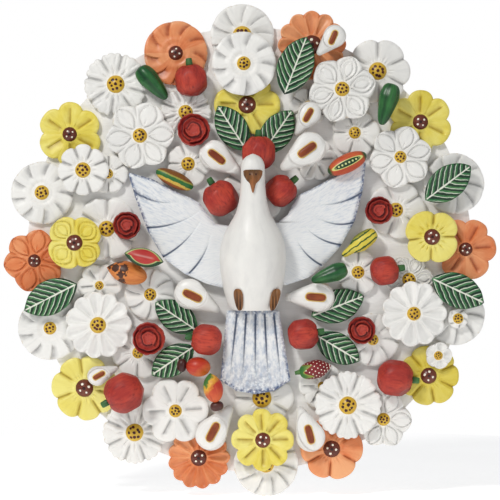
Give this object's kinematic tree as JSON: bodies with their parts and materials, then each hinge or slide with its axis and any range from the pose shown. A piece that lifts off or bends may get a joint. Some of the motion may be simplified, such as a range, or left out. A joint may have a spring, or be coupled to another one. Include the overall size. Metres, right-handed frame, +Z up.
{
  "type": "tree of life wall wreath with dove",
  "caption": "Round wall wreath: carved and painted flowers, leaves, callas and fruit layered on a disc round a spread-winged dove, hung by a swinging ring at the back.",
  "frame": {"origin": "centre of the board's flat back face", "axes": "+Z up as it hangs, +Y out of the back towards the wall, so the decorated face looks along -Y"},
  "size_m": [0.6033, 0.0877, 0.602],
  "materials": {
    "white_paint": "carved, hand painted, satin",
    "yellow_paint": "carved, hand painted, satin",
    "orange_paint": "carved, hand painted, satin",
    "ochre_paint": "carved, hand painted, satin",
    "brown_paint": "carved, hand painted, satin",
    "board_paint": "carved, hand painted, satin",
    "bare_wood": "bare, sawn",
    "leaf_paint": "carved, hand painted, satin",
    "spadix_paint": "carved, hand painted, satin",
    "rose_paint": "carved, hand painted, satin",
    "pepper_paint": "carved, hand painted, satin",
    "tomato_paint": "carved, hand painted, satin",
    "stem_paint": "carved, hand painted, satin",
    "corn_paint": "carved, hand painted, satin",
    "cut_fruit_paint": "carved, hand painted, satin",
    "spotted_paint": "carved, hand painted, satin",
    "gourd_paint": "carved, hand painted, satin",
    "strawberry_paint": "carved, hand painted, satin",
    "cashew_paint": "carved, hand painted, satin",
    "nut_paint": "carved, hand painted, satin",
    "melon_paint": "carved, hand painted, satin",
    "dove_paint": "carved, hand painted, satin",
    "beak_paint": "carved, hand painted, satin",
    "steel": "zinc plated"
  },
  "bodies": {
    "root": {"white_cosmos_1": "white_paint", "yellow_lobed_1": "yellow_paint", "orange_pinwheel": "orange_paint", "white_disc_1": "white_paint", "yellow_lobed_2": "yellow_paint", "orange_daisy_1": "orange_paint", "white_lobed_1": "white_paint", "yellow_lobed_3": "yellow_paint", "white_ring_1": "white_paint", "orange_jasmine": "orange_paint", "white_ring_2": "white_paint", "yellow_cosmos_1": "yellow_paint", "white_cosmos_2": "white_paint", "orange_daisy_2": "orange_paint", "white_disc_2": "white_paint", "orange_lobed_1": "orange_paint", "orange_lobed_2": "orange_paint", "yellow_cosmos_2": "yellow_paint", "white_jasmine_1": "white_paint", "white_puffy": "white_paint", "white_ring_3": "white_paint", "yellow_cross_1": "yellow_paint", "white_daisy_1": "white_paint", "white_star": "white_paint", "yellow_lobed_4": "yellow_paint", "white_cosmos_3": "white_paint", "white_daisy_2": "white_paint", "white_jasmine_2": "white_paint", "white_jasmine_3": "white_paint", "yellow_cross_2": "yellow_paint", "back_row_flowers": "white_paint", "small_white_discs": "white_paint", "yellow_centres": "ochre_paint", "brown_centres": "brown_paint", "back_board": "board_paint", "riser_blocks": "bare_wood", "hanger_strap": "steel", "hanger_screws": "steel", "leaves": "leaf_paint", "calla_lilies": "white_paint", "calla_spadices": "spadix_paint", "roses": "rose_paint", "green_peppers": "pepper_paint", "tomatoes": "tomato_paint", "fruit_stems": "stem_paint", "corn_cob": "corn_paint", "cut_fruit": "cut_fruit_paint", "spotted_fruit": "spotted_paint", "gourd": "gourd_paint", "strawberry": "strawberry_paint", "cashew_fruits": "cashew_paint", "cashew_nuts": "nut_paint", "watermelon_slice": "melon_paint", "dove_wing_left": "dove_paint", "dove_wing_right": "dove_paint", "dove_tail": "dove_paint", "dove_body": "dove_paint", "dove_beak": "beak_paint", "dove_feet": "beak_paint"},
    "ring": {"hanger_ring": "steel"}
  },
  "joints": [
    {"name": "ring_hinge", "type": "hinge", "parent": "root", "child": "ring", "pos_m": [0, -0.0046, 0.2], "axis": [-1, 0, 0], "range_deg": [0, 175]}
  ]
}
